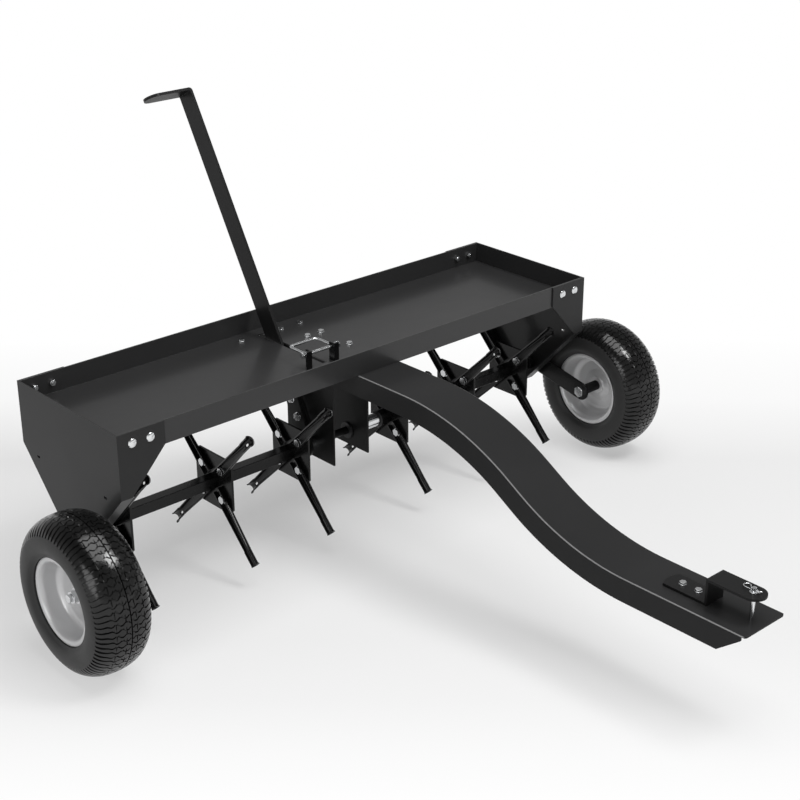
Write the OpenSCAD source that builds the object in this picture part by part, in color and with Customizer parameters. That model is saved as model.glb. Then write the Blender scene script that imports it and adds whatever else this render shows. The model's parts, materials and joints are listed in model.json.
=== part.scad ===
// Tow behind aerator, 40 inch class, with coring spoons on free-turning square tubes.
// Millimetres, +Z up, towing direction -Y, ground at z = 0.
// Depths are laid out from the middle of the tray and moved at the end,
// so that the origin lies on the ground under the middle of the whole machine.

/* [Tray] */
// Length over the outer faces of the end plates
tray_l = 1016; // [960:2:1200]
// Width over the flanges of the end plates
tray_w = 282; // [276:1:320]
// Height of the tray's rim above the ground
tray_top = 362; // [362:1:380]
// Depth of the tray from rim to floor
tray_depth = 36.6; // [30:0.2:37]
// Sheet thickness of the tray and the end plates
sheet = 2.5; // [2:0.1:3]

/* [End plates] */
// Height of the narrow lower edge above the ground
end_bottom = 125.5; // [115:0.5:130]
// Width of that lower edge
end_bottom_w = 39; // [34:1:60]
// Height at which the upright edges turn into the slanted ones
end_corner = 256; // [245:1:262]
// Width of the bolted flange at the rim
flange_w = 83.8; // [76:0.2:110]
// Height at which the flange begins to slant
flange_turn = 325; // [315:1:330]
// Width of the stiffening lip along the slanted edges
lip_w = 20; // [12:1:24]
// Distance of the flange bolts below the rim
flange_bolt_drop = 18.5; // [15:0.5:20]
// Distances of the two flange bolts from the end
flange_bolt_in = [26, 58]; // [20:1:70]
// Distance of the two slots from the middle of an end plate
end_slot_y = 96; // [88:1:104]
// Height of those slots
end_slot_z = 245; // [236:1:250]
// Length of those slots over their round ends
end_slot_l = 9; // [8:0.5:12]
// Height of their opening
end_slot_h = 4; // [3.5:0.5:5]

/* [Rock shaft] */
// Depth of the shaft's axis behind the middle of the tray
shaft_y = -9; // [-14:1:-4]
// Height of the shaft's axis
shaft_z = 154.5; // [152:0.5:157]
// Diameter of the shaft
shaft_d = 14; // [13:0.5:14]
// Radial running clearance of every bore on a shaft or pin
run_gap = 0.06; // [0.04:0.01:0.09]
// Gap between faces that slide past each other
face_gap = 0.3; // [0.2:0.05:0.6]

/* [Tine stars] */
// Side of the square tine tubes
tube_s = 20; // [20:0.5:22]
// Wall of the square tine tubes
tube_t = 1.5; // [1.2:0.1:2]
// Left faces of the three stars on the left tube
stars_left = [-445, -249, -87]; // [-450:1:-84]
// Left faces of the three stars on the right tube
stars_right = [140, 308, 449]; // [130:1:452]
// Side of the square star plate
star_s = 98; // [94:1:102]
// Thickness of the star plate
star_t = 4; // [3:0.5:5]
// Radius of the ring of spoon bolts
star_bolt_r = 36.5; // [34:0.5:40]

/* [Coring spoons] */
// Radius of the spoon tips about the shaft
spoon_r = 159.5; // [150:0.5:160]
// Radius at which a spoon begins
spoon_in = 17; // [16:0.5:20]
// Width at the inner end
spoon_w_in = 21; // [19:0.5:22]
// Width where the flanges run into the round tip
spoon_w_out = 15.5; // [14:0.5:17]
// Height of the side flanges at the inner end
spoon_h_in = 7; // [6:0.5:8]
// Height of the side flanges at the tip
spoon_h_out = 8.5; // [7:0.5:9]
// Sheet thickness of a spoon
spoon_t = 2.2; // [1.8:0.1:2.6]
// Outer diameter of the round tip
tip_d = 17; // [16:0.5:18]
// Length of the round tip
tip_l = 30; // [24:1:36]
// Flare of the cutting rim at the end
rim_flare = 1.4; // [0.8:0.1:1.8]
// Width of the soil hole near the tip
soil_hole_w = 4; // [3:0.5:5]
// Length of the soil hole
soil_hole_l = 11; // [8:0.5:12]
// Distance of the soil hole from the tip
soil_hole_back = 14; // [12:1:16]

/* [Drawbar] */
// Width of the channel
bar_w = 94; // [90:1:96]
// Middle of the drawbar across the machine
bar_x = 5; // [3:1:7]
// Height of the channel's side flanges
bar_h = 38; // [32:1:42]
// Sheet thickness of the drawbar
bar_t = 3; // [2.5:0.1:3.5]
// Rear end of the drawbar under the tray
bar_rear = 125; // [122:1:130]
// Where the first bend begins
bar_bend = -246; // [-260:1:-230]
// Radius of the upper bend
bend_top_r = 463; // [440:1:470]
// Radius of the lower bend
bend_low_r = 411; // [400:1:416]
// Slope of the stretch between the bends
bar_slope = 30; // [29.5:0.1:30.5]
// Height of the front end's upper face
bar_front_z = 187; // [184:1:189]
// Front end of the drawbar
bar_front = -924.4; // [-960:0.2:-910]
// How far the flanges are cut back below the front end
bar_cut = 44; // [30:1:60]
// Rounding of the front corners
bar_corner_r = 8; // [4:1:12]

/* [Hangers] */
// Width over the two hanger plates
hanger_w = 80; // [78:1:82]
// Thickness of the hanger bracket
hanger_t = 3; // [2.5:0.1:3.5]
// Front edge of the hanger plates
hanger_front = -63.5; // [-70:0.5:-60]
// Rear edge of the hanger plates
hanger_rear = 62; // [58:1:70]
// Bottom edge of the hanger plates
hanger_bottom = 128; // [120:1:130]

/* [Hitch] */
// Width of the hitch and lever straps
strap_w = 38.1; // [36:0.1:40]
// Thickness of the hitch strap
hitch_t = 4; // [3:0.2:5]
// Clear height between the drawbar and the upper leg
hitch_gap = 38; // [34:1:42]
// Rear end of the bracket's foot
hitch_rear = -757; // [-765:1:-750]
// Front face of the riser
hitch_riser = -839; // [-845:1:-835]
// Front end of the upper leg
hitch_front = -920; // [-922:1:-918]
// Middle of the two hitch bolts
hitch_bolts_y = -796.5; // [-800:0.5:-794]
// Distance between the two hitch bolts
hitch_bolt_pitch = 27.5; // [26:0.5:30]
// Diameter of the hitch pin
pin_d = 6.5; // [6:0.25:8]
// Depth of the pin's axis
pin_y = -901; // [-902:0.5:-900]
// Length of the pin below the drawbar
pin_tail = 14; // [10:1:20]
// Wire diameter of the pin clip
clip_d = 1.8; // [1.5:0.1:2]

/* [Lever] */
// Left face of the lever strap
lever_x = -51.5; // [-52:0.1:-51]
// Thickness of the lever strap
lever_t = 5; // [4.5:0.1:5.5]
// Lean of the lever towards the rear
lever_lean = 29.85; // [29:0.05:30.5]
// Offset of the strap's middle in front of the shaft
lever_off = 13; // [11:0.5:14]
// Lower end of the strap along its own length from the shaft
lever_start = 24; // [22:1:30]
// Height of the strap's top
lever_top = 730.3; // [700:0.1:760]
// Length of the folded grip
grip_l = 86; // [70:1:100]
// Upper end of the lever bracket from the shaft
lug_top = 85; // [82:1:95]
// Length of the lever bracket's hub
hub_l = 13.5; // [12:0.5:14]

/* [Slot and latch] */
// Width of the lever slot
slot_w = 10.5; // [10:0.5:11]
// Front end of the lever slot
slot_front = -62; // [-66:1:-58]
// Rear end of the lever slot
slot_rear = 114.5; // [110:0.5:118]
// Outer edges of the two latch tabs
latch_x = [-92, -24]; // [-100:1:-20]
// Depth of the latch rod
latch_y = -61; // [-62:0.5:-60]
// Height of the latch rod above the tray's floor
latch_rise = 24.6; // [22:0.2:28]
// Diameter of the latch rod
latch_d = 6; // [5:0.5:6]
// Wire diameter of the latch bail
bail_d = 5; // [4:0.5:5]
// Length of the bail's legs
bail_l = 46; // [44:1:47]

/* [Wheels] */
// Diameter of the tyres
tyre_d = 253.6; // [248:0.2:256]
// Width of the tyres
tyre_w = 100; // [92:1:104]
// Middle of each tyre from the middle of the machine
wheel_x = 578.9; // [576:0.1:590]
// Distance of the wheel centres from the shaft along the arms
arm_l = 127.1; // [120:0.1:132]
// Diameter of the rim's flange
rim_d = 139.8; // [136:0.2:144]
// Width over the rim's flanges
rim_w = 84.4; // [80:0.2:86]
// Radius of the rim's barrel
barrel_r = 61; // [58:0.5:62]
// Sheet thickness of the rim
rim_t = 2.4; // [2:0.1:3]
// Half length of the wheel hub
hub_half = 12.5; // [11:0.5:13]
// Width of the wheel arms
arm_w = 35; // [34:1:36]
// Thickness of the wheel arms
arm_t = 4; // [4:0.5:5]
// Space between each wheel arm and its end plate
arm_gap = 13; // [11:0.5:14]
// Diameter of the wheel axle bolts
axle_d = 12.7; // [12:0.1:13]
// Diameter of the sleeve between arm and wheel
sleeve_d = 19; // [18:0.5:20]

/* [Hidden] */
$fn = 48;

black = [0.16, 0.16, 0.165];
zinc = [0.82, 0.83, 0.84];
silver = [0.72, 0.73, 0.74];
rubber = [0.09, 0.09, 0.09];
nylon = [0.22, 0.22, 0.23];

end_x = tray_l / 2;
in_x = end_x - sheet;
half_w = tray_w / 2;
wall_y = half_w - sheet;
floor_z = tray_top - tray_depth;
deck_z = floor_z - sheet;
bolt_gap = 0.3;
seat_gap = 0.05;

bush_wall = 4;
bush_r = shaft_d / 2 + run_gap;
bush_out_r = shaft_d / 2 + bush_wall;
bush_flange_r = bush_out_r + bush_wall;
bush_flange_t = 3;
tine_cap_t = 4;
tine_cap_l = 12;
hub_x = lever_x - lever_t;
hanger_x = [bar_x - hanger_w / 2, bar_x + hanger_w / 2];
tine_out_x = in_x - bush_flange_t - face_gap - tine_cap_t;
tine_left_in = hub_x - hub_l - face_gap - tine_cap_t;
tine_right_lead = 32;
spacer_right_end = stars_right[0] - tine_right_lead;
tine_right_in = spacer_right_end + face_gap + tine_cap_t;
spacer_d = 25;
shaft_out = 3;

wheel_z = tyre_d / 2;
wheel_y = shaft_y - sqrt(arm_l * arm_l - pow(shaft_z - wheel_z, 2));
arm_x = end_x + arm_gap;
arm_out_x = arm_x + arm_t;
hub_in_x = wheel_x - hub_half - face_gap;
hub_out_x = wheel_x + hub_half + face_gap;
axle_washer_t = 2;
axle_nut_h = 8;
axle_nut_r = 10.5;
axle_head_h = 6;
axle_tail = 6;
axle_end = hub_out_x + axle_washer_t + axle_nut_h + axle_tail;
hub_bush_t = 2.5;
hub_bush_r = axle_d / 2 + hub_bush_t;
rim_hub_r = 17;
lip_h = rim_d / 2 - barrel_r;
bead_in = 8.8;
bead_w = 8.2;
bead_toe = 6;
dish_x = 5;
tyre_side_rise = 17;
tyre_side_r = rim_d / 2 + tyre_side_rise;
tyre_wall = 7;
groove_w = 2.4;
groove_d = 4;
crown_steps = 10;

latch_z = floor_z + latch_rise;
latch_out = 6;
tab_w = 10;
tab_t = 2.5;
bail_eye_t = 1.8;
bail_eye_r = latch_d / 2 + run_gap + bail_eye_t;
lever_bolt_t = [52, 85];
lug_r = 17;
hub_lug_r = 20;
fold_in_r = 1;
fold_r = lever_t + fold_in_r;
lever_grip_y = shaft_y + (lever_top - shaft_z) * tan(lever_lean) - (lever_off + strap_w / 2) / cos(lever_lean);
lever_len = (lever_top - shaft_z) / cos(lever_lean) - (lever_off + strap_w / 2) * tan(lever_lean);
lever_rear = lever_grip_y + strap_w * cos(lever_lean);
mid_y = (bar_front + lever_rear) / 2;

bar_drop = deck_z - bar_front_z;
bar_straight = (bar_drop - (bend_top_r + bend_low_r) * (1 - cos(bar_slope))) / sin(bar_slope);
bend_steps = 8;

hitch_top = bar_front_z + hitch_gap + hitch_t;
foot_r = strap_w;
washer_t = 1.6;
clip_z = hitch_top + face_gap + washer_t + clip_d / 2 + run_gap;
pin_over_clip = 5.5;
pin_top = clip_z + pin_over_clip;

deck_spots = [[-92.8, 110, 0], [-7, 110, 1], [36, 110, 1], [5, 50, 2], [35.5, 50, 2], [35.5, -26, 2]];
deck_bolt_d = 6;
frame_bolt_d = 6;
star_bolt_d = 8;
lever_bolt_d = 8;

// Moves what was laid out from the tray's middle to the finished frame
module place() {
    translate([0, -mid_y, 0])
        children();
}

// Round bar along X from x0 to x1
module rod_x(x0, x1, r) {
    translate([x0, 0, 0])
        rotate([0, 90, 0])
            cylinder(h = x1 - x0, r = r);
}

// Ring along X from x0 to x1
module ring_x(x0, x1, r_out, r_in) {
    difference() {
        rod_x(x0, x1, r_out);
        rod_x(x0 - 1, x1 + 1, r_in);
    }
}

// Outline in Y and Z, made as thick as x1 - x0 and set between them
module slab_x(x0, x1) {
    translate([x0, 0, 0])
        rotate([90, 0, 90])
            linear_extrude(x1 - x0)
                children();
}

// Hexagon head with a low washer face, its seat at z = 0
module hex_head(d) {
    cylinder(h = 0.12 * d, r = 0.95 * d);
    translate([0, 0, 0.12 * d])
        cylinder(h = 0.5 * d, r = 0.9 * d, $fn = 6);
}

// Domed head of a carriage bolt, its seat at z = 0
module dome_head(d) {
    rotate_extrude()
        polygon([[0, 0], for (a = [0 : 15 : 75]) [1.25 * d * cos(a), 0.55 * d * sin(a)], [0, 0.55 * d]]);
}

// Hexagon nut under a stack as thick as grip, clear of the shank
module nut(d, grip) {
    translate([0, 0, -grip - 0.8 * d])
        difference() {
            cylinder(h = 0.8 * d, r = 0.9 * d, $fn = 6);
            translate([0, 0, -1])
                cylinder(h = 0.8 * d + 2, r = d / 2 + seat_gap);
        }
}

// Bolt and nut that clamp a stack as thick as grip below z = 0
module fastener(d, grip, dome = false) {
    if (dome)
        dome_head(d);
    else
        hex_head(d);
    translate([0, 0, -grip - 1.1 * d])
        cylinder(h = grip + 1.1 * d, r = d / 2);
    nut(d, grip);
}

// Strap outline round two circles of unlike radius, as one polygon with an arc at each end
module strap_outline(a, ra, b, rb) {
    turn = atan2(b[1] - a[1], b[0] - a[0]);
    side = acos((ra - rb) / norm(b - a));
    steps = 24;
    polygon(concat(
        [for (i = [0 : steps]) let (w = turn + side + (360 - 2 * side) * i / steps)
            a + ra * [cos(w), sin(w)]],
        [for (i = [0 : steps]) let (w = turn - side + 2 * side * i / steps)
            b + rb * [cos(w), sin(w)]]));
}

// Places children at both ends of the machine, the left one mirrored
module both_ends() {
    children();
    mirror([1, 0, 0])
        children();
}

// Tray: floor with front and rear walls, lever slot and bolt holes
module tray() {
    color(black)
        difference() {
            union() {
                translate([-in_x, -wall_y, deck_z])
                    cube([2 * in_x, 2 * wall_y, sheet]);
                for (side = [-1, 1])
                    translate([-in_x, side > 0 ? wall_y - sheet : -wall_y, deck_z])
                        cube([2 * in_x, sheet, tray_top - deck_z]);
            }
            translate([lever_x + lever_t / 2 - slot_w / 2, slot_front, deck_z - 1])
                cube([slot_w, slot_rear - slot_front, sheet + 2]);
            for (p = deck_spots)
                translate([p[0], p[1], deck_z - 1])
                    cylinder(h = sheet + 2, r = deck_bolt_d / 2 + bolt_gap);
            for (side = [-1, 1], end = [-1, 1], d = flange_bolt_in)
                translate([end * (end_x - d), side * wall_y, tray_top - flange_bolt_drop])
                    rotate([90, 0, 0])
                        cylinder(h = 4 * sheet, r = frame_bolt_d / 2 + bolt_gap, center = true);
        }
}

// Outline of an end plate, from the rim down to its narrow lower edge
module end_outline() {
    polygon([
        [-half_w, tray_top], [-half_w, end_corner],
        [-end_bottom_w / 2, end_bottom], [end_bottom_w / 2, end_bottom],
        [half_w, end_corner], [half_w, tray_top]]);
}

// Folded lip along one slanted edge, with its width running inwards
module end_lip(side) {
    run = half_w - end_bottom_w / 2;
    rise = end_corner - end_bottom;
    slant = atan2(rise, run);
    translate([in_x - lip_w, side * end_bottom_w / 2, end_bottom])
        rotate([side > 0 ? slant : 180 - slant, 0, 0])
            translate([0, 0, side > 0 ? 0 : -sheet])
                cube([lip_w, norm([run, rise]), sheet]);
}

// Right end plate: panel, bolted front and rear flanges, slanted lips, bush hole and slots
module end_plate() {
    slot_half = (end_slot_l - end_slot_h) / 2;
    color(black)
        difference() {
            union() {
                slab_x(in_x, end_x)
                    end_outline();
                for (side = [-1, 1]) {
                    translate([0, side > 0 ? half_w - sheet : -half_w, 0])
                        rotate([90, 0, 0])
                            mirror([0, 0, 1])
                                linear_extrude(sheet)
                                    polygon([
                                        [end_x - sheet, tray_top], [end_x - flange_w, tray_top],
                                        [end_x - flange_w, flange_turn], [end_x - lip_w, end_corner],
                                        [end_x - sheet, end_corner]]);
                    end_lip(side);
                }
            }
            translate([0, shaft_y, shaft_z])
                rod_x(in_x - 1, end_x + 1, bush_out_r + seat_gap);
            for (side = [-1, 1]) {
                translate([in_x - 1, side * end_slot_y - slot_half, end_slot_z - end_slot_h / 2])
                    cube([sheet + 2, 2 * slot_half, end_slot_h]);
                for (tip = [-1, 1])
                    translate([0, side * end_slot_y + tip * slot_half, end_slot_z])
                        rod_x(in_x - 1, end_x + 1, end_slot_h / 2);
            }
            for (side = [-1, 1], d = flange_bolt_in)
                translate([end_x - d, side * half_w, tray_top - flange_bolt_drop])
                    rotate([90, 0, 0])
                        cylinder(h = 4 * sheet, r = frame_bolt_d / 2 + bolt_gap, center = true);
        }
}

// Carriage bolts that hold the end plates to the tray walls
module end_plate_bolts() {
    color(zinc)
        for (side = [-1, 1], end = [-1, 1], d = flange_bolt_in)
            translate([end * (end_x - d), side * half_w, tray_top - flange_bolt_drop])
                rotate([side > 0 ? -90 : 90, 0, 0])
                    fastener(frame_bolt_d, 2 * sheet, true);
}

// Bolts through the tray's floor, some of them through the drawbar and the hanger bracket too
module deck_bolts() {
    grips = [sheet, sheet + bar_t, sheet + bar_t + hanger_t];
    color(zinc)
        for (p = deck_spots)
            translate([p[0], p[1], floor_z])
                fastener(deck_bolt_d, grips[p[2]]);
}

// Side view of the drawbar's upper face, as far below it as drop, from rear to front
function bar_line(drop) =
    let (y1 = bar_bend - bend_top_r * sin(bar_slope),
         z1 = deck_z - bend_top_r * (1 - cos(bar_slope)),
         y2 = y1 - bar_straight * cos(bar_slope),
         z2 = z1 - bar_straight * sin(bar_slope),
         top = [bar_bend, deck_z - bend_top_r],
         low = [y2 - bend_low_r * sin(bar_slope), z2 + bend_low_r * cos(bar_slope)])
    concat(
        [[bar_rear, deck_z - drop]],
        [for (i = [0 : bend_steps]) let (a = bar_slope * i / bend_steps)
            top + (bend_top_r - drop) * [-sin(a), cos(a)]],
        [for (i = [0 : bend_steps]) let (a = bar_slope * (1 - i / bend_steps))
            low + (bend_low_r + drop) * [sin(a), -cos(a)]],
        [[bar_front, bar_front_z - drop]]);
function backwards(list) = [for (i = [len(list) - 1 : -1 : 0]) list[i]];

// Drawbar: channel open downwards, bent twice, with slanted flange ends and rounded front corners
module drawbar() {
    left = bar_x - bar_w / 2;
    right = bar_x + bar_w / 2;
    color(black)
        difference() {
            slab_x(left, right)
                polygon(concat(bar_line(0), backwards(bar_line(bar_h))));
            slab_x(left + bar_t, right - bar_t)
                polygon(concat(bar_line(bar_t), backwards(bar_line(bar_h + 1))));
            slab_x(left - 1, right + 1)
                polygon([
                    [bar_front - 1, bar_front_z - bar_t], [bar_front, bar_front_z - bar_t],
                    [bar_front + bar_cut, bar_front_z - bar_h], [bar_front + bar_cut, bar_front_z - bar_h - 1],
                    [bar_front - 1, bar_front_z - bar_h - 1]]);
            for (side = [-1, 1])
                translate([bar_x + side * bar_w / 2, bar_front, bar_front_z - bar_t - 1])
                    difference() {
                        translate([-bar_corner_r, -bar_corner_r, 0])
                            cube([2 * bar_corner_r, 2 * bar_corner_r, bar_t + 2]);
                        translate([-side * bar_corner_r, bar_corner_r, -1])
                            cylinder(h = bar_t + 4, r = bar_corner_r);
                    }
            for (p = deck_spots)
                if (p[2] > 0)
                    translate([p[0], p[1], deck_z - bar_t - 1])
                        cylinder(h = bar_t + 2, r = deck_bolt_d / 2 + bolt_gap);
            for (side = [-1, 1])
                translate([bar_x, hitch_bolts_y + side * hitch_bolt_pitch / 2, bar_front_z - bar_t - 1])
                    cylinder(h = bar_t + 2, r = frame_bolt_d / 2 + bolt_gap);
            translate([bar_x, pin_y, bar_front_z - bar_t - 1])
                cylinder(h = bar_t + 2, r = pin_d / 2 + run_gap);
        }
}

// Hanger bracket: U of sheet inside the drawbar, which carries the middle of the rock shaft
module hanger_bracket() {
    top = deck_z - bar_t;
    color(black)
        difference() {
            union() {
                translate([hanger_x[0], hanger_front, top - hanger_t])
                    cube([hanger_w, hanger_rear - hanger_front, hanger_t]);
                for (x = [hanger_x[0], hanger_x[1] - hanger_t])
                    translate([x, hanger_front, hanger_bottom])
                        cube([hanger_t, hanger_rear - hanger_front, top - hanger_bottom]);
            }
            for (p = deck_spots)
                if (p[2] > 1)
                    translate([p[0], p[1], top - hanger_t - 1])
                        cylinder(h = hanger_t + 2, r = deck_bolt_d / 2 + bolt_gap);
            translate([0, shaft_y, shaft_z])
                rod_x(hanger_x[0] - 1, hanger_x[1] + 1, bush_out_r + seat_gap);
        }
}

// Flanged bushes that carry the rock shaft in the end plates and the hangers
module shaft_bushes() {
    color(nylon)
        translate([0, shaft_y, shaft_z]) {
            both_ends()
                difference() {
                    union() {
                        rod_x(in_x - bush_flange_t, in_x, bush_flange_r);
                        rod_x(in_x, arm_x - face_gap, bush_out_r);
                    }
                    rod_x(in_x - bush_flange_t - 1, arm_x, bush_r);
                }
            difference() {
                union() {
                    rod_x(hanger_x[0], hanger_x[0] + hanger_t, bush_out_r);
                    rod_x(hanger_x[0] + hanger_t, hanger_x[0] + hanger_t + bush_flange_t, bush_flange_r);
                }
                rod_x(hanger_x[0] - 1, bar_x, bush_r);
            }
            difference() {
                union() {
                    rod_x(hanger_x[1] - hanger_t, hanger_x[1], bush_out_r);
                    rod_x(hanger_x[1] - hanger_t - bush_flange_t, hanger_x[1] - hanger_t, bush_flange_r);
                }
                rod_x(bar_x, hanger_x[1] + 1, bush_r);
            }
        }
}

// Rounded strap in plan from y0 to y1, with its arc at y0 or y1
module strap_plan(y_square, y_round) {
    r = strap_w / 2;
    side = y_round > y_square ? 1 : -1;
    translate([bar_x, y_round - side * r])
        circle(r = r);
    translate([bar_x - r, min(y_square, y_round - side * r)])
        square([strap_w, abs(y_round - side * r - y_square)]);
}

// Hitch bracket: foot bolted on the drawbar, riser, and an upper leg over the pin hole
module hitch_bracket() {
    color(black)
        difference() {
            union() {
                translate([0, 0, bar_front_z])
                    linear_extrude(hitch_t)
                        intersection() {
                            translate([bar_x - strap_w / 2, hitch_riser])
                                square([strap_w, hitch_rear - hitch_riser]);
                            translate([bar_x, hitch_rear - foot_r])
                                circle(r = foot_r, $fn = 96);
                        }
                translate([bar_x - strap_w / 2, hitch_riser, bar_front_z])
                    cube([strap_w, foot_r, hitch_t]);
                translate([bar_x - strap_w / 2, hitch_riser, bar_front_z])
                    cube([strap_w, hitch_t, hitch_gap + hitch_t]);
                translate([0, 0, hitch_top - hitch_t])
                    linear_extrude(hitch_t)
                        strap_plan(hitch_riser + hitch_t, hitch_front);
            }
            for (side = [-1, 1])
                translate([bar_x, hitch_bolts_y + side * hitch_bolt_pitch / 2, bar_front_z - 1])
                    cylinder(h = hitch_t + 2, r = frame_bolt_d / 2 + bolt_gap);
            translate([bar_x, pin_y, bar_front_z - 1])
                cylinder(h = hitch_gap + hitch_t + 2, r = pin_d / 2 + run_gap);
        }
}

// Two bolts through the foot of the hitch bracket
module hitch_bolts() {
    color(zinc)
        for (side = [-1, 1])
            translate([bar_x, hitch_bolts_y + side * hitch_bolt_pitch / 2, bar_front_z + hitch_t])
                fastener(frame_bolt_d, hitch_t + bar_t);
}

// Hitch pin: hangs on its clip, passes the upper leg and the drawbar, and has a pointed end
module hitch_pin() {
    low = bar_front_z - bar_t - pin_tail;
    point = 2;
    color(zinc)
        translate([bar_x, pin_y, 0])
            difference() {
                union() {
                    translate([0, 0, low + point])
                        cylinder(h = pin_top - point - 1 - low, r = pin_d / 2);
                    translate([0, 0, pin_top - 1])
                        cylinder(h = 1, r1 = pin_d / 2, r2 = pin_d / 2 - 0.8);
                    translate([0, 0, low])
                        cylinder(h = point, r1 = pin_d / 2 - 1.4, r2 = pin_d / 2);
                }
                translate([0, 0, clip_z])
                    rotate([90, 0, 0])
                        cylinder(h = 4 * pin_d, r = clip_d / 2 + run_gap, center = true, $fn = 24);
            }
}

// Plain washer between the upper leg and the clip
module hitch_washer() {
    color(zinc)
        translate([bar_x, pin_y, hitch_top + face_gap / 2])
            difference() {
                cylinder(h = washer_t, r = pin_d);
                translate([0, 0, -1])
                    cylinder(h = washer_t + 2, r = pin_d / 2 + run_gap);
            }
}

// Points on an arc about a middle, from one angle to another
function arc(middle, r, from, to, steps) =
    [for (i = [0 : steps]) let (a = from + (to - from) * i / steps) middle + r * [cos(a), sin(a)]];

// Round wire swept along a path that lies in the plane z = 0
module flat_wire(path, d) {
    sides = 8;
    last = len(path) - 1;
    points = [for (i = [0 : last]) let (
            run = path[min(i + 1, last)] - path[max(i - 1, 0)],
            across = [-run[1], run[0]] / norm(run))
        for (k = [0 : sides - 1]) let (a = 360 * k / sides)
            [path[i][0] + d / 2 * cos(a) * across[0], path[i][1] + d / 2 * cos(a) * across[1], d / 2 * sin(a)]];
    polyhedron(points, concat(
        [[for (k = [0 : sides - 1]) k]],
        [for (i = [0 : last - 1], k = [0 : sides - 1]) let (n = (k + 1) % sides)
            [i * sides + k, (i + 1) * sides + k, (i + 1) * sides + n, i * sides + n]],
        [[for (k = [sides - 1 : -1 : 0]) last * sides + k]]), convexity = 6);
}

// Hairpin clip: straight leg through the pin, a ring at the back and a bent leg round the pin
module hitch_clip() {
    leg = 15;
    ring_r = 5;
    sweep = 70;
    bulge = pin_d / 2 + clip_d / 2 + 0.4;
    path = concat(
        [[0, ring_r - leg]],
        arc([ring_r, leg], ring_r, 180, -sweep, 16),
        arc([0, 0], bulge, sweep, -sweep, 8),
        [[ring_r, ring_r - leg]]);
    color(zinc)
        translate([bar_x, pin_y, clip_z])
            flat_wire(path, clip_d);
}

// Latch tabs: two small angles that stand on the tray's floor beside the lever slot
module latch_tabs() {
    tab_l = 14;
    tab_h = latch_rise + 7;
    front = latch_y - bail_eye_r - 2 * face_gap - tab_t;
    color(black)
        for (end = [0, 1])
            translate([latch_x[end], front, floor_z])
                mirror([end, 0, 0])
                    difference() {
                        union() {
                            cube([tab_w, tab_t, tab_h]);
                            translate([tab_w - tab_t, 0, 0])
                                cube([tab_t, tab_l, tab_h]);
                        }
                        translate([0, latch_y - front, latch_rise])
                            rod_x(tab_w / 2, tab_w + 1, latch_d / 2 + run_gap);
                    }
}

// Latch rod across both tabs
module latch_rod() {
    color(zinc)
        translate([0, latch_y, latch_z])
            rod_x(latch_x[0] - latch_out, latch_x[1] + latch_out, latch_d / 2);
}

// Nuts on both ends of the latch rod, outside the bail's eyes
module latch_nuts() {
    nut_t = 5;
    nut_r = 6.2;
    tail = 0.5;
    color(zinc)
        translate([0, latch_y, latch_z])
            for (x = [latch_x[0] - latch_out + tail, latch_x[1] + latch_out - tail - nut_t])
                translate([x, 0, 0])
                    rotate([0, 90, 0])
                        difference() {
                            cylinder(h = nut_t, r = nut_r, $fn = 6);
                            translate([0, 0, -1])
                                cylinder(h = nut_t + 2, r = latch_d / 2 + seat_gap);
                        }
}

// Latch bail: wire loop hinged on the latch rod, lying back over the lever slot
module latch_bail() {
    in_by = tab_w - tab_t - face_gap - bail_d / 2;
    legs_x = [latch_x[0] + in_by, latch_x[1] - in_by];
    color(zinc)
        translate([0, latch_y, latch_z])
            difference() {
                union() {
                    for (x = legs_x) {
                        rod_x(x - bail_d / 2, x + bail_d / 2, bail_eye_r);
                        translate([x, 0, 0])
                            rotate([-90, 0, 0])
                                cylinder(h = bail_l, r = bail_d / 2, $fn = 24);
                        translate([x, bail_l, 0])
                            sphere(r = bail_d / 2, $fn = 24);
                    }
                    translate([0, bail_l, 0])
                        rod_x(legs_x[0], legs_x[1], bail_d / 2, $fn = 24);
                }
                rod_x(legs_x[0] - bail_d, legs_x[1] + bail_d, latch_d / 2 + run_gap);
            }
}

// Rock shaft: one round bar through the end plates, hangers and tine tubes
module rock_shaft() {
    color(black)
        translate([0, shaft_y, shaft_z])
            rod_x(-arm_out_x - shaft_out, arm_out_x + shaft_out, shaft_d / 2);
}

// Zinc spacers that keep the lever bracket and the right tine tube in place
module shaft_spacer(x0, x1) {
    color(zinc)
        translate([0, shaft_y, shaft_z])
            ring_x(x0, x1, spacer_d / 2, shaft_d / 2 + run_gap);
}

// Point at distance t along the lever and s behind its middle line
function lever_point(t, s) =
    [shaft_y + t * sin(lever_lean) + (s - lever_off) * cos(lever_lean),
     shaft_z + t * cos(lever_lean) - (s - lever_off) * sin(lever_lean)];

// Lever bracket: lug on a hub that is fixed on the rock shaft
module lever_bracket() {
    color(black)
        difference() {
            union() {
                slab_x(hub_x, lever_x)
                    strap_outline([shaft_y, shaft_z], hub_lug_r, lever_point(lug_top, 0), lug_r);
                translate([0, shaft_y, shaft_z])
                    rod_x(hub_x - hub_l, hub_x, shaft_d / 2 + 5);
            }
            translate([0, shaft_y, shaft_z])
                rod_x(hub_x - hub_l - 1, lever_x + 1, shaft_d / 2 + seat_gap);
            lever_bolt_holes();
        }
}

// Holes for the two lever bolts through the bracket and the strap
module lever_bolt_holes() {
    for (t = lever_bolt_t)
        translate([0, lever_point(t, 0)[0], lever_point(t, 0)[1]])
            rod_x(hub_x - 1, lever_x + lever_t + 1, lever_bolt_d / 2 + bolt_gap);
}

// Bolts that hold the lever on its bracket, heads towards the left
module lever_bolts() {
    color(zinc)
        for (t = lever_bolt_t)
            translate([hub_x, lever_point(t, 0)[0], lever_point(t, 0)[1]])
                rotate([0, -90, 0])
                    fastener(lever_bolt_d, 2 * lever_t);
}

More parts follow.
